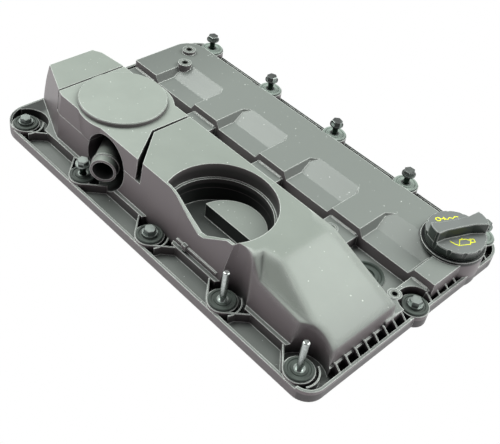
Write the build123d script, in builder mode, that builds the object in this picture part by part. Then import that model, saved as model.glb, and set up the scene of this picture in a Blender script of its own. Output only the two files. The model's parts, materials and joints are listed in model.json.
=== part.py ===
"""Engine valve cover: a moulded cover shell with its separator lid, vent valve, baffle, gasket,
captive bolts in rubber grommets, and a screwed oil filler cap.

Millimetres. The gasket plane is Z = 0 with +Z up, X runs along the engine from the middle of the
cover, and Y = 0 is the near bolt row."""

import os
from math import atan2, degrees, hypot

from build123d import *

os.makedirs("parts", exist_ok=True)

# ---------------------------------------------------------------- driving dimensions
pitch = 97.0  # cylinder pitch, which spaces the bays and the bolts
end_room = 43.0  # flange beyond four pitches, both ends together
wall = 3.0  # moulding wall

# flange and its rims
length = 4 * pitch + end_room
half = length / 2
near_y, far_y = -14.0, 257.0
floor_z = 4.0  # flange thickness, and the floor of the trays round the hump
near_lip_z, end_rim_z, far_rim_z = 10.4, 12.5, 6.0
rim_t = 2.6
corner_r = {"near_left": 28.0, "near_right": 17.0, "far_right": 24.0, "far_left": 26.0}

# bolt rows
far_row_y = 249.5
near_bolt_x = [-half + 27.5, 4.6 - pitch, 6.7, 5.4 + pitch, half - 24.3]
far_bolt_x = [-half + 25 + i * pitch for i in range(4)] + [half - 23]
end_bolt = (half - 8.5, 127.4)
boss_r, boss_z = 13.3, 13.2
boss_bore_r = 8.6
scoop_r, scoop_z = 14.8, 15.0  # vertical part of the hollow round each far boss
scoop_top_r = 24.0

# captive bolts, M6
shank_r = 3.0
bolt_lift = 10.5  # how far a bolt slides up in its sleeve, which is its grip in the head
sleeve_r, sleeve_bore_r, sleeve_z = 4.9, 3.5, 15.4
grommet_r, grommet_z = 12.0, 15.2
head_flange_r, head_flange_t = 7.0, 1.3
head_flats, head_h = 10.0, 5.6
stud_top_z = 47.7
raised = {"near": [1], "far": [0, 1, 2, 3, 4]}  # bolts standing up at rest

# hump: the tall drafted block over the camshaft and the oil separator
hump_z = 63.0
hump_near_y, hump_far_y = 17.0, 95.5
hump_left_x, hump_right_x = -half + 17.8, half - 16.1
draft = 6.5
step_y, rail_z = 7.8, 14.6
slope_x, end_top, end_foot = half - 86, (half - 12.5, 31.0), (half - 9, 18.0)
near_scoop_r = [22.0, 15.5, 22.0, 20.0, 24.0]  # upright hollow in the hump behind each near bolt
low_scoop, low_scoop_z = 1, 36.0  # the one that stops below the breather pipe
end_scoop_r = 16.5
facet = (slope_x, 31.0, 62.5), (slope_x + 46, 22.0, 42.7), (slope_x - 5, 17.0, 47.0)

# vent valve
vent_at = (-half + 105, 59.0)
vent_cap_r, vent_cap_z = 42.0, 67.8
vent_well_r, vent_floor_z = 33.0, 46.0

# separator lid and its slots, round the vent valve
parting_z = 41.0
lid_left_x, lid_right_x, lid_far_right = vent_at[0] - 46, vent_at[0] + 76.4, (vent_at[0] + 51, 53.0)
slot_w = 2.0
bulge_at, bulge_r = (vent_at[0] + 5, vent_at[1]), 45.5

# breather pipe and its pocket
pipe_mouth, pipe_dir = (vent_at[0] + 42, 5.0, 31.6), (0.6, -0.8, 0.0)
pipe_r, pipe_bore_r, pipe_len = 12.5, 10.0, 52.0
pocket_at, pocket_r, pocket_back_y = (vent_at[0] + 34.5, 33.0), 27.0, 38.5

# round recess with its half-moon platform
recess_at, recess_r, recess_floor_z = (pitch / 2 + 1, 40.0), 47.6, 22.0
recess_rim_r, recess_rim_z = 50.0, 47.5
platform_at, platform_r, platform_front_y, platform_z = (recess_at[0] + 8, 45.0), 34.0, 48.5, 37.0
# the top edge of its front wall, from the recess's middle
front_wall = [(-40, 63.0), (-32, 60.7), (-13, 48.8), (2, 40.6), (8, 41.5), (33, 57.3), (40.5, 58), (45, 63)]

# injector plateau, bays and trough
plateau_z, plateau_near_y, plateau_far_y = 28.3, 146.5, 227.0
plateau_left_x, plateau_right_x = -half + 14, half - 6
bay_x, bay_w, bay_shelf_z, bay_shelf_y, bay_ramp_y, bay_apex_y = -half + 48.3, 63.0, 20.4, 167.5, 191.0, 187.0
bay_side = 4.7  # how far each side wall of a bay leans in on its way down
ledge_z, trough_z = 19.4, 7.8

# oil filler
filler_at = (half - 29, 204.0)
neck_r, neck_z, neck_bore_r = 30.0, 31.0, 22.0
cap_r, cap_z, cap_gap = 28.0, 41.0, 0.4
handle_z, handle_w, handle_angle = 52.0, 11.0, 68.0

# threaded inserts: centre, top, outside radius
insert_bosses = [(-half + 33, 206.0, 32.0), (-half + 51, 184.5, 32.5)]
insert_r, insert_bore_r, insert_boss_r, insert_depth = 4.2, 2.6, 7.2, 12.0
seal_at, seal_r = (half - 60.2, 124.0), 17.7

deep = 20.0  # how far construction solids reach under the gasket plane


# ---------------------------------------------------------------- shared forms
def flange_face(inset=0.0):
    """The flange's outline as a face, moved inwards by inset."""
    with BuildSketch(Plane.XY, mode=Mode.PRIVATE) as face:
        with Locations((0, (near_y + far_y) / 2)):
            Rectangle(length, far_y - near_y)
        corners = face.vertices().group_by(Axis.Y)
        fillet(corners[0].sort_by(Axis.X)[0], corner_r["near_left"])
        fillet(face.vertices().group_by(Axis.Y)[0].sort_by(Axis.X)[-1], corner_r["near_right"])
        fillet(face.vertices().group_by(Axis.Y)[-1].sort_by(Axis.X)[-1], corner_r["far_right"])
        fillet(face.vertices().group_by(Axis.Y)[-1].sort_by(Axis.X)[0], corner_r["far_left"])
        if inset:
            offset(amount=-inset)
    return face.sketch


def hump_block(inset=0.0):
    """The hump with its drafted sides; inset moves every wall inwards for the hollow."""
    top = hump_z - inset
    with BuildPart(mode=Mode.PRIVATE) as block:
        with BuildSketch(Plane.XY.offset(top)):
            with BuildLine():
                Polyline(
                    (hump_left_x - 14, 42.0), (hump_left_x + 40.7, 19.4), (hump_left_x + 47.7, hump_near_y),
                    (hump_right_x, hump_near_y), (hump_right_x, hump_far_y), (hump_left_x + 38.9, hump_far_y),
                    (hump_left_x + 9.2, 92), (hump_left_x - 14, 79), close=True)
            make_face()
            if inset:
                offset(amount=-inset, kind=Kind.INTERSECTION)
        extrude(amount=-(top + deep), taper=-draft)
        with BuildSketch(Plane.XZ):
            with BuildLine():
                top_edge = Polyline((hump_left_x, hump_z), (slope_x, hump_z), end_top, end_foot,
                                    (end_foot[0], -deep), (hump_left_x - 13.8, -deep),
                                    (hump_left_x - 13.8, 20))
                ThreePointArc(top_edge @ 1, (hump_left_x - 9, 42), top_edge @ 0)
            make_face()
            if inset:
                offset(amount=-inset, kind=Kind.INTERSECTION)
        extrude(amount=far_y, both=True, mode=Mode.INTERSECT)
    return block.part


def plateau_face(inset=0.0):
    """The injector plateau's plan with the swell round the filler neck."""
    with BuildSketch(Plane.XY, mode=Mode.PRIVATE) as face:
        with BuildLine():
            Polyline((plateau_left_x, plateau_near_y), (plateau_right_x, plateau_near_y),
                     (plateau_right_x, plateau_far_y), (plateau_left_x, plateau_far_y), close=True)
        make_face()
        fillet(face.vertices().group_by(Axis.X)[0].sort_by(Axis.Y)[-1], 22)
        if inset:
            offset(amount=-inset, kind=Kind.INTERSECTION)
        with Locations(filler_at):
            Circle(neck_r - inset)
    return face.sketch


def bay_block(inset=0.0):
    """One bay's hollow, at the first bay: a shelf, a ramp up to the plateau and leaning sides."""
    with BuildPart(mode=Mode.PRIVATE) as bay:
        with BuildSketch(Plane.YZ.offset(bay_x - inset)):
            with BuildLine():
                Polyline((plateau_near_y - deep, bay_shelf_z - inset), (bay_shelf_y, bay_shelf_z - inset),
                         (bay_ramp_y + 10, plateau_z + 3.4 - inset), (bay_ramp_y + 10, plateau_z + deep),
                         (plateau_near_y - deep, plateau_z + deep), close=True)
            make_face()
        extrude(amount=bay_w + 2 * inset)
        with BuildSketch(Plane.XY.offset(plateau_z)):
            with BuildLine():
                Polyline((bay_x - inset, plateau_near_y - deep),
                         (bay_x + bay_w + inset, plateau_near_y - deep),
                         (bay_x + bay_w + inset, bay_apex_y - 4), (bay_x + bay_w - 5, bay_ramp_y),
                         (bay_x + 7.7, bay_ramp_y), (bay_x - inset, bay_apex_y - 4), close=True)
            make_face()
        lean = degrees(atan2(bay_side, plateau_z - bay_shelf_z))
        extrude(amount=-2 * (plateau_z - bay_shelf_z), taper=lean, mode=Mode.INTERSECT)
    return bay.part


def on_circle(centre, radius, low, high):
    """A plain upright cylinder from low to high."""
    with BuildPart(Plane.XY.offset(low), mode=Mode.PRIVATE) as post:
        with BuildSketch(Plane.XY.offset(low)):
            with Locations(centre):
                Circle(radius)
        extrude(amount=high - low)
    return post.part


def box_between(low, high):
    """A plain box from its low corner to its high corner."""
    with BuildPart(mode=Mode.PRIVATE) as block:
        with BuildSketch(Plane.XY.offset(low[2])):
            with Locations(((low[0] + high[0]) / 2, (low[1] + high[1]) / 2)):
                Rectangle(high[0] - low[0], high[1] - low[1])
        extrude(amount=high[2] - low[2])
    return block.part


# ---------------------------------------------------------------- cover shell
ledges = [(plateau_left_x, bay_x)]
ledges += [(bay_x + bay_w + i * pitch, bay_x + (i + 1) * pitch) for i in range(3)]
ledges += [(bay_x + bay_w + 3 * pitch, plateau_right_x)]
ledge_near_y = hump_far_y - 8
bosses = [(x, 0.0) for x in near_bolt_x] + [(x, far_row_y) for x in far_bolt_x] + [end_bolt]
cavity_near_y, cavity_left_x, cavity_right_x = step_y + wall + 3.7, -half + 9, half - 12.5

# the bays along the plateau, outside and as the moulding's inside face
first_bay = bay_block()
bays = [first_bay.moved(Location((i * pitch, 0, 0))) for i in range(4)]
first_lining = bay_block(wall)
linings = [first_lining.moved(Location((i * pitch, 0, 0))) for i in range(4)]


def lid_plan(gap=0.0, inset=0.0):
    """Plan of the separator lid; gap widens it for the slots beside it, inset shrinks it for its hollow."""
    right, far = lid_right_x + 3.5 * gap, lid_far_right
    with BuildSketch(Plane.XY, mode=Mode.PRIVATE) as plan:
        with BuildLine():
            Polyline((lid_left_x - gap, -deep), (right, -deep), (right, hump_near_y),
                     (far[0] + 1.5 * gap, far[1]), (far[0] + 1.5 + gap, hump_far_y + deep),
                     (lid_left_x - gap, hump_far_y + deep), close=True)
        make_face()
        if inset:
            offset(amount=-inset, kind=Kind.INTERSECTION)
    return plan.sketch


# the vertical hollows in the hump's near wall that clear each bolt
scoop_at = [((x, 0.0), r, low_scoop_z if i == low_scoop else hump_z + 1)
            for i, (x, r) in enumerate(zip(near_bolt_x, near_scoop_r))]
scoop_at += [(end_bolt, end_scoop_r, hump_z + 1)]
scoops = [on_circle(centre, r, floor_z, top) for centre, r, top in scoop_at]
scoop_linings = [on_circle(centre, r + wall, -deep, top + wall) for centre, r, top in scoop_at]

# the long facet along the right end's near edge
with BuildPart() as end_facet:
    with BuildSketch(Plane.XZ.offset(-deep * 2)):
        with BuildLine():
            Polyline((facet[0][0] - 18, hump_z + 1.5), (facet[2][0], facet[2][2] - 0.5),
                     (end_top[0] + 6, facet[1][2] - 6), (end_top[0] + 6, hump_z + 1.5), close=True)
        make_face()
    extrude(amount=deep * 2 + 5)
    down, along = Vector(*facet[2]) - Vector(*facet[0]), Vector(*facet[1]) - Vector(*facet[0])
    facet_plane = Plane(origin=facet[0], z_dir=down.cross(along))
    split(bisect_by=facet_plane, keep=Keep.TOP)

facet_lining = end_facet.part.moved(Location(-wall * facet_plane.z_dir))

# round recess: the bucket and its wider rim, behind the cut-down front wall
with BuildPart() as recess:
    with BuildSketch(Plane.XY.offset(recess_floor_z)):
        with Locations(recess_at):
            Circle(recess_r)
        with Locations((recess_at[0], hump_near_y + wall - 1 - recess_rim_r)):
            Rectangle(3 * recess_rim_r, 2 * recess_rim_r, mode=Mode.SUBTRACT)
    extrude(amount=hump_z)
    with BuildSketch(Plane.XY.offset(recess_rim_z)):
        with Locations(recess_at):
            Circle(recess_rim_r)
        with Locations((recess_at[0], hump_near_y + wall - 1 - recess_rim_r)):
            Rectangle(3 * recess_rim_r, 2 * recess_rim_r, mode=Mode.SUBTRACT)
    extrude(amount=hump_z)
    with BuildSketch(Plane.XY.offset(recess_floor_z)):
        with Locations(platform_at):
            Circle(platform_r)
        with Locations((platform_at[0], platform_front_y - platform_r)):
            Rectangle(2 * platform_r, 2 * platform_r, mode=Mode.SUBTRACT)
    extrude(amount=platform_z - recess_floor_z, mode=Mode.SUBTRACT)

with BuildPart() as recess_lining:
    with BuildSketch(Plane.XY.offset(recess_floor_z - wall)):
        with Locations(recess_at):
            Circle(recess_rim_r + wall)
    extrude(amount=hump_z)

with BuildPart() as front_cut:
    with BuildSketch(Plane((recess_at[0], hump_near_y + wall, 0), x_dir=(1, 0, 0), z_dir=(0, -1, 0))):
        with BuildLine():
            Polyline((front_wall[0][0], hump_z + 5), *front_wall, (front_wall[-1][0], hump_z + 5), close=True)
        make_face()
    extrude(amount=hump_near_y + wall + 8)

# the pocket round the breather pipe
pocket_plane = Plane.XZ.offset(-pocket_back_y)
with BuildPart() as pocket:
    with BuildSketch(pocket_plane):
        with Locations(pocket_at):
            Circle(pocket_r)
    extrude(amount=pocket_back_y + 2)
with BuildPart() as pocket_lining:
    with BuildSketch(Plane.XZ.offset(-pocket_back_y - wall)):
        with Locations(pocket_at):
            Circle(pocket_r + wall)
    extrude(amount=pocket_back_y + 3 * wall)

# everything the moulding's inside leaves open, down to the gasket plane
with BuildPart() as cavity:
    add(hump_block(wall))
    with BuildSketch(Plane.XY.offset(-deep)):
        add(plateau_face(wall))
    extrude(amount=plateau_z - wall + deep)
    for lining in linings:
        add(lining, mode=Mode.SUBTRACT)
    with BuildSketch(Plane.XY.offset(-deep)):
        with BuildLine():
            Polyline((plateau_left_x + wall, cavity_near_y), (cavity_right_x, cavity_near_y),
                     (cavity_right_x, plateau_far_y - wall), (plateau_left_x + 24, plateau_far_y - wall),
                     (plateau_left_x + wall, plateau_far_y - 24), close=True)
        make_face()
    extrude(amount=trough_z - wall + deep)
    for left, right in ledges:
        add(box_between((left + wall, ledge_near_y - wall, -deep),
                        (right - wall, plateau_near_y + 2 * wall, ledge_z - wall)))
    for lining in scoop_linings:
        add(lining, mode=Mode.SUBTRACT)
    add(facet_lining, mode=Mode.SUBTRACT)
    add(recess_lining.part, mode=Mode.SUBTRACT)
    add(pocket_lining.part, mode=Mode.SUBTRACT)
    with BuildSketch(Plane.XY.offset(parting_z - wall)):
        add(lid_plan(wall + slot_w))
    extrude(amount=hump_z, mode=Mode.SUBTRACT)
    add(box_between((-length, -far_y, -deep - 1), (cavity_left_x, 2 * far_y, hump_z)), mode=Mode.SUBTRACT)
    add(box_between((cavity_right_x, -far_y, -deep - 1), (length, 2 * far_y, hump_z)), mode=Mode.SUBTRACT)

# the hollow round each far boss: upright beside the boss, then leaning out to the plateau's edge
with BuildPart() as far_scoop:
    with BuildSketch(Plane.XZ):
        with BuildLine():
            Polyline((0, floor_z), (scoop_r, floor_z), (scoop_r, scoop_z), (scoop_top_r, plateau_z),
                     (scoop_top_r + 5, plateau_z + 7), (0, plateau_z + 7), close=True)
        make_face()
    revolve(axis=Axis.Z)

# the gasket's closed run along the flange, stepping in past the end bolt
gasket_w, gasket_h, gasket_proud, groove_gap = 3.0, 4.4, 1.2, 0.1
run_near, run_far, run_left, run_right, run_step = 10.6, 236.0, -half + 5.1, half - 5.5, 14.8


def gasket_loop(grow):
    """The gasket's centre line as a filled face, grown or shrunk to one of its edges."""
    step_x = run_right - run_step
    with BuildSketch(Plane.XY, mode=Mode.PRIVATE) as loop:
        with BuildLine():
            Polyline((run_left, run_near), (run_right, run_near), (run_right, end_bolt[1] - 22),
                     (step_x, end_bolt[1] - 12), (step_x, end_bolt[1] + 12), (run_right, end_bolt[1] + 22),
                     (run_right, run_far), (run_left, run_far), close=True)
        make_face()
        fillet(loop.vertices(), 6)
        offset(amount=grow)
    return loop.sketch


# ribs of the end channel, webs and collars of the near bosses, second rail
rib_first_y, rib_pitch, rib_count, rib_t = 24.0, 12.0, 18, 1.6
web_reach, web_t, collar_r = 26.0, 1.4, 16.6
web_sides = {0: (1,), 1: (-1, 1), 2: (-1, 1), 3: (-1, 1), 4: (-1,)}
rail_y, rail2_z = 12.2, 20.8
with BuildPart() as end_rib:
    with BuildSketch(Plane.XZ):
        with BuildLine():
            Polyline((end_foot[0] - 2, floor_z - 0.3), (end_foot[0] - 1, end_foot[1]),
                     (end_foot[0] + 0.4, end_foot[1]), (half - rim_t + 0.5, end_rim_z),
                     (half - rim_t + 0.5, floor_z - 0.3), close=True)
        make_face()
    extrude(amount=rib_t / 2, both=True)


with BuildPart() as end_ribs:
    for i in range(rib_count):
        y = rib_first_y + i * rib_pitch
        if abs(y - end_bolt[1]) > boss_r + rib_t:
            add(end_rib.part.moved(Location((0, y, 0))))
with BuildPart() as collars:
    for x in (near_bolt_x[0], *near_bolt_x[2:]):
        with BuildSketch(Plane.XY.offset(floor_z - 0.5)):
            with Locations((x, 0)):
                Circle(collar_r + web_t / 2)
                Circle(collar_r - web_t / 2, mode=Mode.SUBTRACT)
                Rectangle(2 * collar_r, 2 * collar_r, rotation=-26, align=(Align.MIN, Align.MIN),
                          mode=Mode.INTERSECT)
        extrude(amount=boss_z - floor_z)

# threaded inserts in raised bosses and in the ledges: centre and top
ledge_inserts = [(half - 113.4, 133.9), (half - 25, 118.0)]
inserts = insert_bosses + [(x, y, ledge_z + 0.6) for x, y in ledge_inserts]

# oil baffle under the separator, on posts from its deck
baffle_z, baffle_t = 12.0, 2.0
baffle_centre, baffle_size = (vent_at[0] + 2.5, 68.0), (80.0, 44.0)
post_r, screw_r = 4.2, 1.7
baffle_posts = [(baffle_centre[0] + i * 34.0, baffle_centre[1] + j * 17.0)
                for i in (-1, 0, 1) for j in (-1, 1)]

# round plug in the trough
plug_at, plug_r = seal_at, seal_r

# the bore that takes the pipe's inner end
with BuildPart() as pipe_seat:
    with BuildSketch(Plane(origin=pipe_mouth, z_dir=(-pipe_dir[0], -pipe_dir[1], 0))):
        Circle(pipe_r)
    extrude(amount=pipe_len)

with BuildPart() as rims:
    with BuildSketch(Plane.XY.offset(1)):
        add(flange_face())
        add(flange_face(rim_t), mode=Mode.SUBTRACT)
    extrude(amount=end_rim_z - 1)
    add(box_between((-half + 26, near_y - 2, near_lip_z), (half - 15, near_y + 6, end_rim_z + 1)),
        mode=Mode.SUBTRACT)
    add(box_between((-half + 16, far_y - 9, far_rim_z), (half - 15, far_y + 2, end_rim_z + 1)),
        mode=Mode.SUBTRACT)

with BuildPart() as cover_shell:
    # flange
    with BuildSketch():
        add(flange_face())
    extrude(amount=floor_z)
    # hump on its stepped base, with the rail along its foot
    add(hump_block())
    with BuildSketch():
        with Locations(((hump_left_x - 13.8 + end_foot[0]) / 2, (step_y + hump_far_y) / 2)):
            Rectangle(end_foot[0] - hump_left_x + 13.8, hump_far_y - step_y)
    extrude(amount=rail_z)
    # plateau, ledges and the trough between them and the hump
    with BuildSketch():
        add(plateau_face())
    extrude(amount=plateau_z)
    with BuildSketch():
        with Locations(((plateau_left_x + end_foot[0]) / 2, (hump_far_y + plateau_near_y) / 2)):
            Rectangle(end_foot[0] - plateau_left_x, plateau_near_y - hump_far_y + 10)
    extrude(amount=trough_z)
    for left, right in ledges:
        add(box_between((left, ledge_near_y, 0), (min(right, end_foot[0]), plateau_near_y + 1, ledge_z)))
    for bay in bays:
        add(bay, mode=Mode.SUBTRACT)
    with Locations((*filler_at, plateau_z)):
        Cylinder(neck_r, neck_z - plateau_z, align=(Align.CENTER, Align.CENTER, Align.MIN))
    # clear away what reaches under the gasket plane, then the hollows from above
    add(box_between((-length, -far_y, -2 * deep), (length, 2 * far_y, 0)), mode=Mode.SUBTRACT)
    for scoop in scoops:
        add(scoop, mode=Mode.SUBTRACT)
    for x in far_bolt_x:
        add(far_scoop.part.moved(Location((x, far_row_y, 0))), mode=Mode.SUBTRACT)
    # rims: low along the two long sides, higher round the ends
    add(rims.part)
    with BuildSketch():
        with Locations(*bosses):
            Circle(boss_r)
    extrude(amount=boss_z)
    add(end_facet.part, mode=Mode.SUBTRACT)
    add(recess.part, mode=Mode.SUBTRACT)
    add(front_cut.part, mode=Mode.SUBTRACT)
    add(pocket.part, mode=Mode.SUBTRACT)
    with BuildSketch(Plane.XY.offset(parting_z)):
        add(lid_plan(slot_w))
    extrude(amount=hump_z, mode=Mode.SUBTRACT)
    # the open inside
    add(cavity.part, mode=Mode.SUBTRACT)
    with BuildSketch():
        with Locations(*bosses):
            Circle(boss_bore_r)
    extrude(amount=boss_z, mode=Mode.SUBTRACT)
    with BuildSketch(Plane.XY.offset(-1)):
        add(gasket_loop(gasket_w / 2 + groove_gap))
        add(gasket_loop(-gasket_w / 2 - groove_gap), mode=Mode.SUBTRACT)
    extrude(amount=1 + gasket_h - gasket_proud, mode=Mode.SUBTRACT)
    # filler neck, and its tube under the plateau
    add(on_circle(filler_at, neck_bore_r + wall, bay_shelf_z - 4, plateau_z))
    add(on_circle(filler_at, neck_bore_r, 0, neck_z + 1), mode=Mode.SUBTRACT)
    # ribs across the end channel, sloping from the end wall to the rim
    add(end_ribs.part)
    # near bosses: webs to the rail, and a curved collar on the inner side
    with BuildSketch(Plane.XY.offset(floor_z - 0.5)):
        for i, x in enumerate(near_bolt_x):
            for side in web_sides[i]:
                foot, head = (x + side * 9.0, -9.0), (x + side * web_reach, step_y + 1)
                with Locations(((foot[0] + head[0]) / 2, (foot[1] + head[1]) / 2)):
                    Rectangle(hypot(head[0] - foot[0], head[1] - foot[1]), web_t,
                              rotation=degrees(atan2(head[1] - foot[1], head[0] - foot[0])))
    extrude(amount=boss_z - floor_z + 0.5)
    add(collars.part)
    # second rail along the hump's near wall, with its clip lug
    rail_left, rail_right = near_bolt_x[2] + near_scoop_r[2] + 1, near_bolt_x[3] - near_scoop_r[3] - 1
    add(box_between((rail_left, rail_y - 1.6, rail2_z - 2), (rail_right, rail_y + 3, rail2_z)))
    add(box_between((rail_left + 9, rail_y - 3.4, rail2_z - 4), (rail_left + 14, rail_y + 3, rail2_z + 1.5)))
    # bead along the foot of each pad
    for left, right in ledges:
        add(box_between((left + 2, plateau_near_y - 1.2, ledge_z - 2),
                        (min(right, end_foot[0]) - 2, plateau_near_y + 1, bay_shelf_z)))
    # bosses for the threaded inserts, posts for the baffle screws, and the plug's seat
    for x, y, top in insert_bosses:
        add(on_circle((x, y), insert_boss_r, bay_shelf_z - wall, top))
    with BuildSketch(Plane.XY.offset(ledge_z + 0.6)):
        with Locations(*ledge_inserts):
            Circle(insert_r + 2.4)
    extrude(amount=-insert_depth - 2)
    for x, y, top in inserts:
        add(on_circle((x, y), insert_r, top - insert_depth, top + 1), mode=Mode.SUBTRACT)
    with BuildSketch(Plane.XY.offset(baffle_z)):
        with Locations(*baffle_posts):
            Circle(post_r)
            Circle(screw_r, mode=Mode.SUBTRACT)
    extrude(amount=parting_z - 1 - baffle_z)
    add(on_circle(plug_at, plug_r + 2.2, 4.0, trough_z))
    add(on_circle(plug_at, plug_r, 5.6, trough_z + 1), mode=Mode.SUBTRACT)
    # the pipe's seat and its way into the separator
    add(pipe_seat.part, mode=Mode.SUBTRACT)
cover_shell.part.label = "cover_shell"
export_step(cover_shell.part, "parts/cover_shell.step")


# ---------------------------------------------------------------- separator lid and vent valve
vent_rebate_r, diaphragm_t = 36.2, 1.2
with BuildPart() as lid_hollow:
    with BuildSketch(Plane.XY.offset(parting_z - 1)):
        add(lid_plan(0, wall))
    extrude(amount=hump_z)
    add(hump_block(wall), mode=Mode.INTERSECT)
    add(pocket_lining.part, mode=Mode.SUBTRACT)
    add(on_circle(vent_at, vent_well_r + wall, vent_floor_z - wall, hump_z), mode=Mode.SUBTRACT)
with BuildPart() as separator_cover:
    with BuildSketch(Plane.XY.offset(parting_z)):
        add(lid_plan())
    extrude(amount=hump_z - parting_z)
    add(hump_block(), mode=Mode.INTERSECT)
    add(on_circle(bulge_at, bulge_r, parting_z, hump_z))
    add(pocket.part, mode=Mode.SUBTRACT)
    add(lid_hollow.part, mode=Mode.SUBTRACT)
    add(on_circle(vent_at, vent_well_r, vent_floor_z, hump_z + 1), mode=Mode.SUBTRACT)
    add(on_circle(vent_at, vent_rebate_r, hump_z - diaphragm_t, hump_z + 1), mode=Mode.SUBTRACT)
    add(on_circle(vent_at, 5.0, vent_floor_z - 2 * wall, vent_floor_z + 1), mode=Mode.SUBTRACT)
    add(pipe_seat.part, mode=Mode.SUBTRACT)
separator_cover.part.label = "separator_cover"
export_step(separator_cover.part, "parts/separator_cover.step")

with BuildPart() as vent_cap:
    with BuildSketch(Plane.XY.offset(hump_z)):
        with Locations(vent_at):
            Circle(vent_cap_r)
    extrude(amount=vent_cap_z - hump_z)
    chamfer(vent_cap.faces().sort_by(Axis.Z)[-1].edges(), 0.9)
    with BuildSketch(Plane.XY.offset(hump_z)):
        with Locations(vent_at):
            Circle(vent_well_r)
    extrude(amount=vent_cap_z - hump_z - 2.2, mode=Mode.SUBTRACT)
vent_cap.part.label = "vent_cap"
export_step(vent_cap.part, "parts/vent_cap.step")

pad_r, pad_t = 11.0, 2.4
with BuildPart() as vent_diaphragm:
    add(on_circle(vent_at, vent_rebate_r - 0.2, hump_z - diaphragm_t, hump_z))
    add(on_circle(vent_at, pad_r, hump_z - diaphragm_t - pad_t, hump_z))
vent_diaphragm.part.label = "vent_diaphragm"
export_step(vent_diaphragm.part, "parts/vent_diaphragm.step")

spring_wire_r, spring_r, spring_turns = 0.7, 8.0, 5
spring_low, spring_high = vent_floor_z + spring_wire_r, hump_z - diaphragm_t - pad_t - spring_wire_r
with BuildPart() as vent_spring:
    with BuildLine():
        coil = Helix(pitch=(spring_high - spring_low) / spring_turns, height=spring_high - spring_low,
                     radius=spring_r, center=(*vent_at, spring_low))
    with BuildSketch(Plane(origin=coil @ 0, z_dir=coil % 0)):
        Circle(spring_wire_r)
    sweep(is_frenet=True)
vent_spring.part.label = "vent_spring"
export_step(vent_spring.part, "parts/vent_spring.step")


# ---------------------------------------------------------------- breather pipe
bead_at, bead_w, bead_r = 8.0, 2.2, 0.9
pipe_axis = Plane(origin=pipe_mouth, z_dir=(-pipe_dir[0], -pipe_dir[1], 0))
with BuildPart() as breather_pipe:
    with BuildSketch(pipe_axis):
        Circle(pipe_r)
        Circle(pipe_bore_r, mode=Mode.SUBTRACT)
    extrude(amount=pipe_len)
    with BuildSketch(pipe_axis.offset(bead_at)):
        Circle(pipe_r + bead_r)
        Circle(pipe_bore_r, mode=Mode.SUBTRACT)
    extrude(amount=bead_w)
breather_pipe.part.label = "breather_pipe"
export_step(breather_pipe.part, "parts/breather_pipe.step")


# ---------------------------------------------------------------- baffle and its screws
with BuildPart() as oil_baffle:
    with BuildSketch(Plane.XY.offset(baffle_z - baffle_t)):
        with Locations(baffle_centre):
            RectangleRounded(*baffle_size, 5)
        with Locations(*baffle_posts):
            Circle(screw_r + 0.3, mode=Mode.SUBTRACT)
        with Locations(baffle_centre):
            with GridLocations(18, 1, 3, 1):
                SlotOverall(22, 4, rotation=90, mode=Mode.SUBTRACT)
    extrude(amount=baffle_t)
    with BuildSketch(Plane.XY.offset(baffle_z)):
        with Locations(baffle_centre):
            RectangleRounded(baffle_size[0] - 3, 6, 2)
    extrude(amount=4)
oil_baffle.part.label = "oil_baffle"
export_step(oil_baffle.part, "parts/oil_baffle.step")

with BuildPart() as baffle_screws:
    for x, y in baffle_posts:
        add(on_circle((x, y), screw_r - 0.05, baffle_z - baffle_t, baffle_z + 11))
        add(on_circle((x, y), 3.6, baffle_z - baffle_t - 2, baffle_z - baffle_t))
baffle_screws.part.label = "baffle_screws"
export_step(baffle_screws.part, "parts/baffle_screws.step")


# ---------------------------------------------------------------- gasket
with BuildPart() as cover_gasket:
    with BuildSketch(Plane.XY.offset(-gasket_proud)):
        add(gasket_loop(gasket_w / 2))
        add(gasket_loop(-gasket_w / 2), mode=Mode.SUBTRACT)
    extrude(amount=gasket_h)
cover_gasket.part.label = "cover_gasket"
export_step(cover_gasket.part, "parts/cover_gasket.step")


# ---------------------------------------------------------------- grommets, sleeves and bolts
with BuildPart() as grommet:
    with BuildSketch(Plane.XZ):
        with BuildLine():
            Polyline((sleeve_r, 0.6), (boss_bore_r - 0.1, 0.6), (boss_bore_r - 0.1, boss_z),
                     (grommet_r, boss_z),
                     (grommet_r, grommet_z - 0.5), (grommet_r - 0.6, grommet_z), (grommet_r - 2.2, grommet_z),
                     (grommet_r - 2.8, grommet_z - 0.7), (sleeve_r + 2.6, grommet_z - 0.7),
                     (sleeve_r + 2.0, grommet_z), (sleeve_r, grommet_z), close=True)
        make_face()
    revolve(axis=Axis.Z)

with BuildPart() as bolt_grommets:
    for x, y in bosses:
        add(grommet.part.moved(Location((x, y, 0))))
bolt_grommets.part.label = "bolt_grommets"
export_step(bolt_grommets.part, "parts/bolt_grommets.step")

with BuildPart() as bolt_sleeves:
    for x, y in bosses:
        with BuildSketch():
            with Locations((x, y)):
                Circle(sleeve_r)
                Circle(sleeve_bore_r, mode=Mode.SUBTRACT)
        extrude(amount=sleeve_z)
bolt_sleeves.part.label = "bolt_sleeves"
export_step(bolt_sleeves.part, "parts/bolt_sleeves.step")


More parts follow.
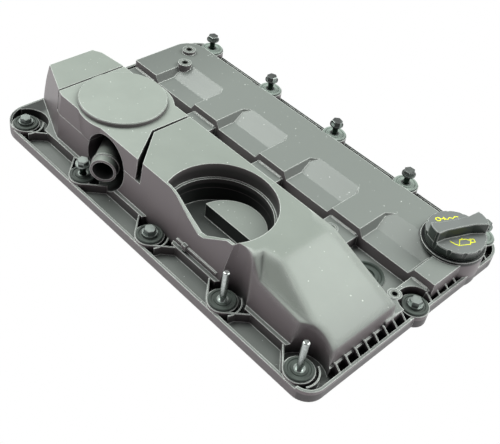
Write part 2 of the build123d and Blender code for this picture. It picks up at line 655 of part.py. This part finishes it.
def hex_bolt(x, y, lift):
    """A hex flange bolt standing lift above its seat on the sleeve."""
    seat = sleeve_z + lift
    with BuildPart() as bolt:
        with BuildSketch(Plane.XY.offset(-bolt_lift + lift)):
            with Locations((x, y)):
                Circle(shank_r)
        extrude(amount=seat + bolt_lift - lift)
        chamfer(bolt.faces().sort_by(Axis.Z)[0].edges(), 0.7)
        with BuildSketch(Plane.XY.offset(seat)):
            with Locations((x, y)):
                Circle(head_flange_r)
        extrude(amount=head_flange_t)
        with BuildSketch(Plane.XY.offset(seat + head_flange_t)):
            with Locations((x, y)):
                RegularPolygon(head_flats / 2, 6, major_radius=False, rotation=20 + 7 * x)
        extrude(amount=head_h - head_flange_t)
        chamfer(bolt.faces().sort_by(Axis.Z)[-1].edges(), 0.5)
    return bolt.part


for i, x in enumerate(near_bolt_x[:3]):
    bolt = hex_bolt(x, 0.0, bolt_lift if i in raised["near"] else 0.0)
    bolt.label = f"near_bolt_{i + 1}"
    export_step(bolt, f"parts/{bolt.label}.step")

for i, x in enumerate(far_bolt_x):
    bolt = hex_bolt(x, far_row_y, bolt_lift if i in raised["far"] else 0.0)
    bolt.label = f"far_bolt_{i + 1}"
    export_step(bolt, f"parts/{bolt.label}.step")

bolt = hex_bolt(*end_bolt, 0.0)
bolt.label = "end_bolt"
export_step(bolt, "parts/end_bolt.step")

for i, x in enumerate(near_bolt_x[3:]):
    with BuildPart() as stud:
        with BuildSketch(Plane.XY.offset(-bolt_lift)):
            with Locations((x, 0)):
                Circle(shank_r)
        extrude(amount=stud_top_z + bolt_lift)
        chamfer(stud.faces().sort_by(Axis.Z)[0].edges(), 0.7)
        fillet(stud.faces().sort_by(Axis.Z)[-1].edges(), 1.2)
        with BuildSketch(Plane.XY.offset(sleeve_z - 2)):
            with Locations((x, 0)):
                Circle(sleeve_bore_r)
        extrude(amount=2)
    stud.part.label = f"near_stud_{i + 1}"
    export_step(stud.part, f"parts/{stud.part.label}.step")


# ---------------------------------------------------------------- oil filler cap
seal_t, plug_low = 2.0, 19.0
web_z = neck_z + seal_t
with BuildPart() as filler_cap:
    with BuildSketch(Plane.XZ):
        with BuildLine():
            Polyline((0, cap_z), (cap_r - 0.8, cap_z), (cap_r, cap_z - 0.8), (cap_r - 1.2, neck_z + cap_gap),
                     (cap_r - 3.6, neck_z + cap_gap), (cap_r - 3.6, web_z), (neck_bore_r - 0.3, web_z),
                     (neck_bore_r - 0.3, plug_low), (neck_bore_r - 3.3, plug_low),
                     (neck_bore_r - 3.3, cap_z - 3.2),
                     (0, cap_z - 3.2), close=True)
        make_face()
    revolve(axis=Axis.Z)
    with BuildSketch(Plane.XY.offset(cap_z - 0.5)):
        with BuildLine():
            Polyline((-cap_r - 0.5, -handle_w / 2 - 2.5), (-cap_r + 12, -handle_w / 2),
                     (cap_r - 16, -handle_w / 2), (cap_r + 0.5, -handle_w / 2 - 4),
                     (cap_r + 0.5, handle_w / 2 + 4), (cap_r - 16, handle_w / 2),
                     (-cap_r + 12, handle_w / 2), (-cap_r - 0.5, handle_w / 2 + 2.5), close=True)
        make_face()
        Circle(cap_r - 0.2, mode=Mode.INTERSECT)
    extrude(amount=handle_z - cap_z + 0.5)
    chamfer(filler_cap.faces().sort_by(Axis.Z)[-1].edges(), 0.6)
    # grip lobes round the skirt
    with BuildSketch(Plane.XY.offset(neck_z + cap_gap)):
        with PolarLocations(cap_r + 1.6, 12, start_angle=15):
            Circle(2.8)
    extrude(amount=cap_z, mode=Mode.SUBTRACT)
cap_part = filler_cap.part.moved(Location((*filler_at, 0), (0, 0, handle_angle)))
cap_part.label = "filler_cap"
export_step(cap_part, "parts/filler_cap.step")

with BuildPart() as filler_seal:
    with BuildSketch(Plane.XY.offset(neck_z)):
        with Locations(filler_at):
            Circle(cap_r - 3.9)
            Circle(neck_bore_r, mode=Mode.SUBTRACT)
    extrude(amount=seal_t)
filler_seal.part.label = "filler_seal"
export_step(filler_seal.part, "parts/filler_seal.step")


# ---------------------------------------------------------------- threaded inserts and the trough plug
with BuildPart() as thread_inserts:
    for x, y, top in inserts:
        with BuildSketch(Plane.XY.offset(top - insert_depth)):
            with Locations((x, y)):
                Circle(insert_r)
                Circle(insert_bore_r, mode=Mode.SUBTRACT)
        extrude(amount=insert_depth)
thread_inserts.part.label = "thread_inserts"
export_step(thread_inserts.part, "parts/thread_inserts.step")

with BuildPart() as trough_plug:
    with BuildSketch(Plane(origin=(*plug_at, 0), x_dir=(1, 0, 0), z_dir=(0, -1, 0))):
        with BuildLine():
            Polyline((0, 5.6), (plug_r - 0.1, 5.6), (plug_r - 0.1, 8.6), (plug_r - 2.4, 9.2),
                     (plug_r - 3.4, 7.6), (plug_r - 5.8, 7.6), (plug_r - 6.4, 9.0), (plug_r - 9, 9.0),
                     (plug_r - 9.6, 7.4), (0, 7.4), close=True)
        make_face()
    revolve(axis=Axis((*plug_at, 0), (0, 0, 1)))
trough_plug.part.label = "trough_plug"
export_step(trough_plug.part, "parts/trough_plug.step")
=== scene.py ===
"""Dresses the engine valve cover: moulded nylon, rubber and zinc-plated finishes, a straight length of
wall over the hollow behind near bolt 3, printed signs on the filler cap, and a plain studio."""

import json
import math

import bmesh
import bpy
from mathutils import Matrix, Vector


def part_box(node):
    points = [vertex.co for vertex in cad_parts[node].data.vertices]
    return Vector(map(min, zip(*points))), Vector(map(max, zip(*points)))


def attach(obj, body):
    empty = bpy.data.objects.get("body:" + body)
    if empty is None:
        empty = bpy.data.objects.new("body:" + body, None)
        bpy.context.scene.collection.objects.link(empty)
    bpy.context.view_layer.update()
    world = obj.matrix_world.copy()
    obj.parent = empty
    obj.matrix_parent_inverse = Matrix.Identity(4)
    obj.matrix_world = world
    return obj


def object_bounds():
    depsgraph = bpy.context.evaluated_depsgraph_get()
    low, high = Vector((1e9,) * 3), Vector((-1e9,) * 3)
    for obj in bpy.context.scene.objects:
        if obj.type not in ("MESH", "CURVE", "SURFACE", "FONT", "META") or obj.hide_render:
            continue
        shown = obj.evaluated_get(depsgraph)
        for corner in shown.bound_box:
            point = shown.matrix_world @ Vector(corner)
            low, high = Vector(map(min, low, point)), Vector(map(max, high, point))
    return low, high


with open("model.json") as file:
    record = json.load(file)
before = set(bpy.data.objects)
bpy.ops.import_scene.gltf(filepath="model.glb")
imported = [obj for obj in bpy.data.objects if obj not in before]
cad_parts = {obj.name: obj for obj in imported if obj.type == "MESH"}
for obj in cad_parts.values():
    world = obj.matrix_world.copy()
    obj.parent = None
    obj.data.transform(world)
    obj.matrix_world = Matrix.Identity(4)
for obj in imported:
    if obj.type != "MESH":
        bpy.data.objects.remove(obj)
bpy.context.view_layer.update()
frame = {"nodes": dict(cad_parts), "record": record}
MM = 0.001

# heights and places on the cover, mm
HUMP_TOP, RIM_LEDGE, PLATFORM_TOP, PLATEAU_TOP, RECESS_FLOOR = 63.0, 47.5, 37.0, 28.3, 22.0
RECESS, RECESS_RIM_R = (49.5, 40.0), 50.0
WALL_BACK = 19.0  # y of the recess's side of its near wall
NECK_R = 30.0
BOLT_ON_SEAT = 15.4  # top of the sleeves, which a seated bolt's flange meets
BOLT_LIFT = 10.5
CAP_TOP = 41.0

# heights below which painted shade lies, mm: in the gutter, and in the near left corner
GUTTER_SHADE_HEIGHT, CORNER_SHADE_HEIGHT = 9.2, 15.6

# radius of moulded edges, mm, and how much wider it is on the hump's right end
EDGE, SOFT_EDGE = 1.5, 9.0


def middle_of(name):
    """The middle of a node's box, mm."""
    low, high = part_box(name)
    return [(one + other) / 2 / MM for one, other in zip(low, high)]


FILLER = middle_of("filler_seal")


# ---------------------------------------------------------------- shader helpers
def srgb(code):
    """A hex colour as the linear colour that shaders want."""
    channels = [int(code[i:i + 2], 16) / 255 for i in (0, 2, 4)]
    return [c / 12.92 if c <= 0.04045 else ((c + 0.055) / 1.055) ** 2.4 for c in channels] + [1.0]


def node(tree, kind, inputs=None, **settings):
    """Adds a node with its settings; an input is linked from a socket or set to a plain value."""
    new = tree.nodes.new(kind)
    for name, value in settings.items():
        if hasattr(new, name):
            setattr(new, name, value)
        else:
            new.inputs[name.replace("_", " ")].default_value = value
    for socket, source in (inputs or {}).items():
        if isinstance(source, bpy.types.NodeSocket):
            tree.links.new(source, new.inputs[socket])
        else:
            new.inputs[socket].default_value = source
    return new


def material(name, colour, roughness, metallic=0.0, ior=None):
    """A new material with its shader set. Returns it with its tree, shader and Object coordinates."""
    made = bpy.data.materials.new(name)
    made.use_nodes = True
    tree = made.node_tree
    shader = tree.nodes["Principled BSDF"]
    shader.inputs["Base Color"].default_value = srgb(colour)
    shader.inputs["Roughness"].default_value = roughness
    shader.inputs["Metallic"].default_value = metallic
    if ior:
        shader.inputs["IOR"].default_value = ior
    place = node(tree, "ShaderNodeTexCoord").outputs["Object"]
    return made, tree, shader, place


def maths(tree, operation, *values, clamp=False):
    """A Math node over sockets or plain numbers."""
    made = node(tree, "ShaderNodeMath", dict(enumerate(values)), operation=operation, use_clamp=clamp)
    return made.outputs[0]


def times(tree, first, *rest):
    for other in rest:
        first = maths(tree, "MULTIPLY", first, other)
    return first


def larger(tree, first, *rest):
    for other in rest:
        first = maths(tree, "MAXIMUM", first, other)
    return first


def less(tree, mask, share=1.0):
    """1 where the mask is 0, and share less where it is 1."""
    return maths(tree, "MULTIPLY_ADD", mask, -share, 1.0)


def step(tree, value, low, high):
    """0 at low, 1 at high, and even between them."""
    return node(tree, "ShaderNodeMapRange", {"Value": value}, From_Min=low, From_Max=high).outputs["Result"]


def step_mm(tree, value, low, high):
    return step(tree, value, low * MM, high * MM)


def axes(tree, vector):
    """The X, Y and Z sockets of a vector."""
    return node(tree, "ShaderNodeSeparateXYZ", {"Vector": vector}).outputs


def colour_mix(tree, factor, low, high):
    """Two hex colours mixed by a factor socket."""
    mix = node(tree, "ShaderNodeMix", {"Factor": factor}, data_type="RGBA")
    mix.inputs[6].default_value = srgb(low)
    mix.inputs[7].default_value = srgb(high)
    return mix.outputs[2]


def overlay(tree, factor, under, colour):
    """Lays a hex colour over a colour socket."""
    mix = node(tree, "ShaderNodeMix", {"Factor": factor}, data_type="RGBA")
    tree.links.new(under, mix.inputs[6])
    mix.inputs[7].default_value = srgb(colour)
    return mix.outputs[2]


def round_well(tree, place, centre, radius, blur=0.4):
    """1 inside an upright round well, given in mm, and 0 outside it."""
    flat = node(tree, "ShaderNodeVectorMath", {0: place, 1: (1, 1, 0)}, operation="MULTIPLY").outputs[0]
    middle = (centre[0] * MM, centre[1] * MM, 0)
    reach = node(tree, "ShaderNodeVectorMath", {0: flat, 1: middle}, operation="DISTANCE").outputs["Value"]
    return step_mm(tree, reach, radius + blur, radius - blur)


# ---------------------------------------------------------------- moulded nylon
SHELL_NYLON = {
    "top": "7E857F", "shade": "8A918B",  # the high faces that look up, and their flow clouds
    "low_top": "747976", "wall": "716B6D",  # the low faces that look up, and the upright ones
    "shadow_tone": "181C1B", "highlight_and_lint": "EEF3EF", "roughness": 0.36,
}
# the lid is the shell's nylon, painted lighter as a sheen
LID_NYLON = {**SHELL_NYLON, "top": "858C86", "shade": "929993", "low_top": "7C807D", "shadow_tone": "1F2322"}
# darker: grey where it faces up, and green-black painted shade on the grip's sides
CAP_NYLON = {
    "top": "686B6A", "shade": "717675", "low_top": "686B6A", "wall": "2E3833",
    "shadow_tone": "151918", "highlight_and_lint": "D2D8D3", "roughness": 0.34,
}


def soft_end(tree, spot):
    """1 on the hump's right end, whose slope and facet blend into it in wide curves."""
    return times(tree, step_mm(tree, spot["X"], 100, 112), step_mm(tree, spot["Z"], 16, 24),
                 step_mm(tree, spot["Y"], 108, 98))


def moulded_nylon(name, top, shade, low_top, wall, shadow_tone, highlight_and_lint, roughness):
    """Glass-filled nylon, moulded in a spark-eroded tool: satin, with a fine stipple, faint flow clouds and
    pale lint flecks on what faces up, painted shade on low and upright faces, towards the far left and in
    the corners, and painted highlights on its edges. Returns what a piece needs to add its own painted
    shade: the material, its tree, coordinates, their axes and the painted shade mask."""
    made, tree, shader, place = material(name, top, roughness, ior=1.53)
    clouds = node(tree, "ShaderNodeTexNoise", {"Vector": place},
                  Scale=1 / (28 * MM), Detail=3.0, Roughness=0.55)
    # such a stipple is usually about 0.1 mm; this one is drawn as coarse as it needs to show
    stipple = node(tree, "ShaderNodeTexNoise", {"Vector": place},
                   Scale=1 / (0.9 * MM), Detail=2.0, Roughness=0.6)
    flecks = node(tree, "ShaderNodeTexNoise", {"Vector": place}, Scale=1 / (1.7 * MM), Detail=0.0)
    spot = axes(tree, place)
    shape = node(tree, "ShaderNodeNewGeometry").outputs
    facing = axes(tree, shape["True Normal"])["Z"]

    skin = colour_mix(tree, clouds.outputs["Fac"], top, shade)
    # painted shade: faces that look up turn darker below 44 mm
    skin = overlay(tree, step_mm(tree, spot["Z"], 44, 26), skin, low_top)
    # painted shade: the far side is darker towards its left end
    far_left = times(tree, step_mm(tree, spot["X"], -110, -200), step_mm(tree, spot["Y"], 100, 120), 0.4)
    skin = overlay(tree, far_left, skin, "4A4E4C")
    # painted shade: upright faces take the darker wall colour
    skin = overlay(tree, step(tree, facing, 0.55, 0.25), skin, wall)
    lint = times(tree, step(tree, flecks.outputs["Fac"], 0.85, 0.88), step(tree, facing, 0.5, 0.9))
    skin = overlay(tree, lint, skin, highlight_and_lint)

    # painted highlights: thin pale lines where a corner turns sharper than the edge radius, and faint ones
    # on the soft end
    soft = soft_end(tree, spot)
    radius = maths(tree, "MULTIPLY_ADD", soft, SOFT_EDGE * MM, EDGE * MM)
    rounded = node(tree, "ShaderNodeBevel", {"Radius": radius}, samples=6).outputs["Normal"]
    turn = node(tree, "ShaderNodeVectorMath", {0: rounded, 1: shape["True Normal"]},
                operation="DOT_PRODUCT").outputs["Value"]
    open_sky = node(tree, "ShaderNodeAmbientOcclusion", samples=8, Distance=30 * MM).outputs["AO"]
    edge = times(tree, step(tree, turn, 0.96, 0.82), step(tree, open_sky, 0.15, 0.45), less(tree, soft, 0.7))

    # painted shade in grooves and corners, where little open sky reaches
    painted_shade = node(tree, "ShaderNodeMath", {0: step(tree, open_sky, 0.68, 0.12), 1: 0.0}, operation="MAXIMUM")
    skin = overlay(tree, painted_shade.outputs[0], skin, shadow_tone)
    tree.links.new(overlay(tree, edge, skin, highlight_and_lint), shader.inputs["Base Color"])

    uneven = node(tree, "ShaderNodeMapRange", {"Value": stipple.outputs["Fac"]},
                  To_Min=roughness - 0.05, To_Max=roughness + 0.07)
    tree.links.new(uneven.outputs["Result"], shader.inputs["Roughness"])
    bump = node(tree, "ShaderNodeBump", {"Height": stipple.outputs["Fac"], "Normal": rounded},
                Strength=0.12, Distance=0.15 * MM)
    tree.links.new(bump.outputs["Normal"], shader.inputs["Normal"])
    return made, tree, place, spot, painted_shade


def cover_shell_finish():
    """The shell's nylon, with painted shade in the gutter round its rim, in the near left corner and in the
    round recess, and a painted shadow at the cap's foot."""
    made, tree, place, spot, painted_shade = moulded_nylon("satin_nylon_shell", **SHELL_NYLON)
    x, y, z = spot["X"], spot["Y"], spot["Z"]

    near = times(tree, step_mm(tree, y, 12, 8), 0.28)
    far = step_mm(tree, y, 228.5, 229.5)
    ends = times(tree, step_mm(tree, maths(tree, "ABSOLUTE", x), 201, 203), 0.7)
    gutter = times(tree, larger(tree, near, far, ends), step_mm(tree, z, GUTTER_SHADE_HEIGHT, GUTTER_SHADE_HEIGHT - 1))
    inside_lip = step_mm(tree, x, -212.4, -211.8)
    corner = times(tree, step_mm(tree, x, -190, -196), step_mm(tree, y, 74, 66),
                   step_mm(tree, z, CORNER_SHADE_HEIGHT, CORNER_SHADE_HEIGHT - 0.4), inside_lip, 0.9)

    # painted shade: the recess is darkest below its ledge; the platform in it is left unshaded
    well = round_well(tree, place, RECESS, RECESS_RIM_R + 0.5)
    upper = times(tree, step_mm(tree, z, HUMP_TOP - 0.4, HUMP_TOP - 7), 0.75)
    depth = larger(tree, step_mm(tree, z, RIM_LEDGE - 0.1, RIM_LEDGE - 5.5), upper)
    behind_wall = step_mm(tree, y, WALL_BACK + 0.8, WALL_BACK + 1.2)
    platform = times(tree, step_mm(tree, z, PLATFORM_TOP - 0.4, PLATFORM_TOP - 0.1),
                     step_mm(tree, z, PLATFORM_TOP + 0.4, PLATFORM_TOP + 0.1), well)
    floor = step_mm(tree, z, RECESS_FLOOR + 0.6, RECESS_FLOOR + 0.2)
    bucket = times(tree, depth, well, behind_wall, less(tree, platform), less(tree, floor, 0.25))

    # painted shadow round the foot of the cap's neck
    foot = times(tree, round_well(tree, place, FILLER, NECK_R + 1.2),
                 step_mm(tree, z, PLATEAU_TOP - 2.3, PLATEAU_TOP - 0.3))
    # the platform is kept out of the painted corner shade as well
    corners = painted_shade.inputs[0].links[0].from_socket
    tree.links.new(times(tree, corners, less(tree, platform)), painted_shade.inputs[0])
    tree.links.new(larger(tree, gutter, corner, bucket, foot), painted_shade.inputs[1])
    return made


# ---------------------------------------------------------------- rubber, steel, brass and ink
def seal_rubber(name, near, far):
    """Moulded acrylic rubber with a green cast, half matt and slightly dusty, paler on the far side as a
    painted sheen, with painted shade in its grooves."""
    made, tree, shader, place = material(name, near, 0.5, ior=1.5)
    dust = node(tree, "ShaderNodeTexNoise", {"Vector": place}, Scale=1 / (2.5 * MM), Detail=4.0)
    skin = colour_mix(tree, step_mm(tree, axes(tree, place)["Y"], 180, 240), near, far)
    open_sky = node(tree, "ShaderNodeAmbientOcclusion", samples=8, Distance=3 * MM).outputs["AO"]
    # painted shade in tight grooves and corners, from occlusion within 3 mm
    skin = overlay(tree, step(tree, open_sky, 0.8, 0.35), skin, "0D1110")
    tree.links.new(skin, shader.inputs["Base Color"])
    bump = node(tree, "ShaderNodeBump", {"Height": dust.outputs["Fac"]}, Strength=0.1, Distance=0.1 * MM)
    tree.links.new(bump.outputs["Normal"], shader.inputs["Normal"])
    return made


def zinc_plate(name, colour, roughness, thread_pitch=None, oiled_below=None):
    """Zinc-plated steel: a cool grey with cloudy passivation. A rolled thread shows as fine rings a pitch
    apart, and a shank that has stood in oil is green-black up to its head."""
    made, tree, shader, place = material(name, colour, roughness, metallic=1.0)
    noise = node(tree, "ShaderNodeTexNoise", {"Vector": place}, Scale=1 / (3.0 * MM), Detail=3.0)
    cloud = noise.outputs["Fac"]
    uneven = node(tree, "ShaderNodeMapRange", {"Value": cloud},
                  To_Min=roughness - 0.08, To_Max=roughness + 0.12)
    tree.links.new(uneven.outputs["Result"], shader.inputs["Roughness"])
    skin = colour_mix(tree, cloud, colour, "8E9592")
    height = axes(tree, place)["Z"]
    if oiled_below:
        skin = overlay(tree, step_mm(tree, height, oiled_below, oiled_below - 0.6), skin, "27322C")
    tree.links.new(skin, shader.inputs["Base Color"])
    if thread_pitch:
        ridge = maths(tree, "SINE", times(tree, height, math.tau / (thread_pitch * MM)))
        bump = node(tree, "ShaderNodeBump", {"Height": ridge}, Strength=0.2, Distance=0.1 * MM)
        tree.links.new(bump.outputs["Normal"], shader.inputs["Normal"])
    return made


def printed_yellow(name, colour):
    """Pad-printed ink: matt yellow with a faintly uneven cover."""
    made, tree, shader, place = material(name, colour, 0.6)
    cover = node(tree, "ShaderNodeTexNoise", {"Vector": place}, Scale=1 / (0.8 * MM), Detail=2.0)
    tree.links.new(colour_mix(tree, cover.outputs["Fac"], colour, "F0F02A"), shader.inputs["Base Color"])
    return made


FINISH = {
    "cover_plastic": cover_shell_finish(),
    "lid_plastic": moulded_nylon("satin_nylon_lid", **LID_NYLON)[0],
    "cap_plastic": moulded_nylon("satin_nylon_cap", **CAP_NYLON)[0],
    "seal_rubber": seal_rubber("acrylic_rubber", "39423D", "88948D"),
    "zinc_steel": zinc_plate("zinc_plated_steel", "7A807E", 0.38),
    "insert_brass": zinc_plate("nickelled_brass", "6A6B64", 0.42),
}
THREADED = zinc_plate("rolled_zinc_thread", "D5DAD8", 0.22, thread_pitch=1.0)
RAISED = zinc_plate("zinc_steel_oiled_shank", "8D9390", 0.34, oiled_below=BOLT_ON_SEAT + BOLT_LIFT)
OWN_FINISH = {
    "near_stud_1": THREADED, "near_stud_2": THREADED, "near_bolt_2": RAISED,
    "bolt_sleeves": zinc_plate("dulled_zinc_sleeve", "8F9693", 0.38),
}
OWN_FINISH.update({name: RAISED for name in frame["nodes"] if name.startswith("far_bolt")})

slot_of = {s["node"]: s["material_slot"] for s in frame["record"]["subparts"]}
for name, piece in frame["nodes"].items():
    piece.data.materials.clear()
    piece.data.materials.append(OWN_FINISH.get(name, FINISH[slot_of[name]]))


# ---------------------------------------------------------------- the recess's near wall at near bolt 3
# In the solid, the hollow behind that bolt breaks into the recess. Here the wall runs on straight
# across the whole hollow.
PROUD = 0.04  # keeps the wall's skin clear of the shell's
SUNK = 0.8  # how deep its borders slide into the shell, so that no joint shows
WALL_FOOT = 9.0  # 5 mm above the tray's floor, so the hollow stays open below it
# left to right: x, height of the top, and how far it is sunk
WALL_TOP = [(-19.0, HUMP_TOP, SUNK), (-13.0, HUMP_TOP, 0), (4.1, HUMP_TOP, 0), (9.5, HUMP_TOP, 0),
            (17.5, 60.7, 0), (26.5, 55.1, 0), (32.0, 51.6, SUNK)]
# the hump's top behind the hollow, from the recess's edge to the left, and its border further back
TOP_BEHIND = [(3.0, 21.7), (1.8, 25.0), (-6.0, 24.5), (-13.0, 22.5)]
TOP_BORDER = [(-0.8, 30.5), (-6.0, 30.0), (-13.0, 28.0)]
# plan of the block that makes the recess narrower below its ledge
NARROW_END = [(3.5, 17.0), (7.2, 17.0), (6.8, WALL_BACK), (5.4, 22.0), (3.5, 22.0)]


def near_face(z):
    """y of the hump's drafted near face at a height."""
    return 9.8 + 0.114 * z


def close_below(bm, tops, feet):
    """Walls and a bottom under an outline of top points."""
    low = [bm.verts.new(foot) for foot in feet]
    bm.faces.new(low[::-1])
    for i in range(len(tops)):
        k = (i + 1) % len(tops)
        bm.faces.new((low[i], low[k], tops[k], tops[i]))


def recess_wall():
    """Goes on at one height from the hump, then down the cut-away slope to the wall that stands."""
    bm = bmesh.new()

    def at(x, y, z):
        return bm.verts.new((x * MM, y * MM, z * MM))

    near, back, near_feet = [], [], []
    for x, top, sunk in WALL_TOP:
        z = top + PROUD - sunk
        near.append(at(x, near_face(z) - PROUD + sunk, z))
        back.append(at(x, WALL_BACK + PROUD - (sunk if top < HUMP_TOP else 0), z))
        near_feet.append((x * MM, (near_face(WALL_FOOT) - PROUD + sunk) * MM, WALL_FOOT * MM))
    for i in range(len(near) - 1):
        bm.faces.new((near[i], near[i + 1], back[i + 1], back[i]))
    flush = [at(x, y, HUMP_TOP + PROUD) for x, y in TOP_BEHIND]
    slid = [at(x, y, HUMP_TOP + PROUD - SUNK) for x, y in TOP_BORDER]
    bm.faces.new((back[1], back[2], *flush))
    for one, two, far_two, far_one in zip(flush[1:], flush[2:] + [back[1]], slid[1:] + [back[0]], slid):
        bm.faces.new((one, far_one, far_two, two))
    rest = back[:1:-1] + flush[:2] + slid + back[:1]
    close_below(bm, near + rest, near_feet + [(v.co.x, v.co.y, WALL_FOOT * MM) for v in rest])

    ledge = [at(x, y, RIM_LEDGE) for x, y in NARROW_END]
    bm.faces.new(ledge)
    close_below(bm, ledge, [(x * MM, y * MM, (RECESS_FLOOR - 1) * MM) for x, y in NARROW_END])

    bmesh.ops.recalc_face_normals(bm, faces=bm.faces[:])
    mesh = bpy.data.meshes.new("recess_near_wall")
    bm.to_mesh(mesh)
    bm.free()
    made = bpy.data.objects.new("recess_near_wall", mesh)
    bpy.context.scene.collection.objects.link(made)
    mesh.materials.append(FINISH["cover_plastic"])
    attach(made, "cover")


recess_wall()


# ---------------------------------------------------------------- printed signs on the filler cap
LINE = 0.62  # half the width of a printed line, mm
INK_FLAT = 0.3  # how flat a line's round section is pressed
SIGN_TURN = math.radians(62)
YELLOW = printed_yellow("printed_yellow_ink", "E2E61C")


def sign(name, place, strokes):
    """A line drawing in mm, printed on the cap's top at a place given from the cap's middle along and
    across the grip."""
    drawing = bpy.data.curves.new(name, "CURVE")
    drawing.dimensions = "3D"
    drawing.bevel_depth = LINE
    drawing.bevel_resolution = 2
    for closed, points in strokes:
        line = drawing.splines.new("POLY")
        line.points.add(len(points) - 1)
        line.use_cyclic_u = closed
        for point, (x, y) in zip(line.points, points):
            point.co = (x, y, 0, 1)
    made = bpy.data.objects.new(name, drawing)
    bpy.context.scene.collection.objects.link(made)
    bpy.ops.object.select_all(action="DESELECT")
    made.select_set(True)
    bpy.context.view_layer.objects.active = made
    bpy.ops.object.convert(target="MESH")
    made = bpy.context.object
    along = Vector((math.cos(SIGN_TURN), math.sin(SIGN_TURN), 0))
    across = Vector((-along.y, along.x, 0))
    made.location = (Vector((*FILLER[:2], CAP_TOP)) + place[0] * along + place[1] * across) * MM
    made.rotation_euler = (0, 0, SIGN_TURN)
    made.scale = (MM, MM, INK_FLAT * MM)
    bpy.ops.object.transform_apply(location=True, rotation=True, scale=True)
    made.name = name
    made.data.materials.append(YELLOW)
    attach(made, "filler_cap")


RING_AT, RING_R, RING_STEPS = -9.5, 2.2, 12
ring_turns = [i * math.tau / RING_STEPS for i in range(RING_STEPS)]
ring = [(RING_AT + RING_R * math.cos(turn), RING_R * math.sin(turn)) for turn in ring_turns]
sign("oil_can_sign", (0.0, -13.4), [
    (True, [(-5.5, -3.6), (5.5, -3.6), (8.0, 0.6), (3.8, 3.2), (-2.0, 3.2)]),  # body
    (False, [(-5.5, -3.6), (-8.6, -1.4), (-11.6, 2.6)]),  # spout
    (False, [(7.0, 2.2), (11.4, 2.2), (11.4, -1.6), (6.6, -1.9)]),  # handle
    (False, [(0.6, 3.2), (0.6, 4.8)]),  # lid knob
])
sign("oil_level_sign", (-0.6, 17.6), [
    (True, ring),  # ring of the dipstick
    (False, [(-7.3, 0), (-3.4, 0)]),  # its stem
    (False, [(-3.4, -2.0), (-3.4, 2.0)]),  # its stop
    (False, [(-3.4, 0), (-0.6, -1.7), (2.2, 0.6), (5.0, -1.2), (8.0, 1.0), (11.0, 0.2)]),  # oil
])


# ---------------------------------------------------------------- studio
def camera(name, place_mm, right, up, back, lens):
    """A camera from its place and its axes in the part's frame."""
    made = bpy.data.objects.new(name, bpy.data.cameras.new(name))
    bpy.context.scene.collection.objects.link(made)
    made.matrix_world = Matrix([
        (right[0], up[0], back[0], place_mm[0] * MM), (right[1], up[1], back[1], place_mm[1] * MM),
        (right[2], up[2], back[2], place_mm[2] * MM), (0, 0, 0, 1)])
    made.data.lens = lens
    made.data.sensor_width = 36.0
    made.data.clip_end = 20.0
    bpy.context.scene.camera = made


def soft_box(name, place, aim, size, power):
    """A square area lamp aimed at a point, in metres and watts."""
    lamp = bpy.data.lights.new(name, "AREA")
    lamp.shape = "SQUARE"
    lamp.size = size
    lamp.energy = power
    lamp.color = srgb("FAFFFA")[:3]
    made = bpy.data.objects.new(name, lamp)
    made.location = place
    made.rotation_euler = (Vector(aim) - Vector(place)).to_track_quat("-Z", "Y").to_euler()
    bpy.context.scene.collection.objects.link(made)


# the paper under the cover, which stays in its shade where an opening shows it: from and to, mm
SHADED_X = (-219, 204)
SHADED_Y = (14, 238)


def paper_floor():
    """White paper, lit as paper but seen as a plain white background."""
    floor_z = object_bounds()[0][2]
    bpy.ops.object.select_all(action="DESELECT")
    bpy.ops.mesh.primitive_plane_add(size=8.0, location=(0, 0, floor_z - 0.0002))
    floor = bpy.context.object
    floor.name = "studio_floor"
    paper, tree, shader, place = material("white_paper_floor", "EFE6EB", 0.9)
    path = node(tree, "ShaderNodeLightPath").outputs
    seen = larger(tree, path["Is Camera Ray"], path["Is Transmission Ray"], path["Is Glossy Ray"])
    spot = axes(tree, place)
    under = times(tree, step_mm(tree, spot["X"], SHADED_X[0], SHADED_X[0] + 1),
                  step_mm(tree, spot["X"], SHADED_X[1], SHADED_X[1] - 1),
                  step_mm(tree, spot["Y"], SHADED_Y[0], SHADED_Y[0] + 1),
                  step_mm(tree, spot["Y"], SHADED_Y[1] + 5, SHADED_Y[1]))
    seen = maths(tree, "SUBTRACT", seen, under, clamp=True)
    glow = node(tree, "ShaderNodeEmission", Color=(1, 1, 1, 1), Strength=1.0)
    both = node(tree, "ShaderNodeMixShader", {0: seen, 1: shader.outputs[0], 2: glow.outputs[0]})
    tree.links.new(both.outputs[0], tree.nodes["Material Output"].inputs["Surface"])
    floor.data.materials.append(paper)


# the eye stands to the near right, well above, and tips a little to one side
camera("studio_camera", (397.979, -339.412, 523.241), right=(0.68480, 0.71784, 0.12560),
       up=(-0.55935, 0.40727, 0.72198), back=(0.46711, -0.56466, 0.68042), lens=59.08)
paper_floor()

world = bpy.data.worlds.new("studio_room")
bpy.context.scene.world = world
world.use_nodes = True
world.node_tree.nodes["Background"].inputs["Color"].default_value = srgb("FFF3F9")
world.node_tree.nodes["Background"].inputs["Strength"].default_value = 0.2

COVER_MIDDLE = (0, 0.12, 0)
soft_box("left_box", (-0.95, -0.05, 1.4), COVER_MIDDLE, size=1.3, power=34)
soft_box("right_box", (0.55, 1.05, 1.3), COVER_MIDDLE, size=1.3, power=30)

bpy.context.scene.view_settings.view_transform = "Standard"
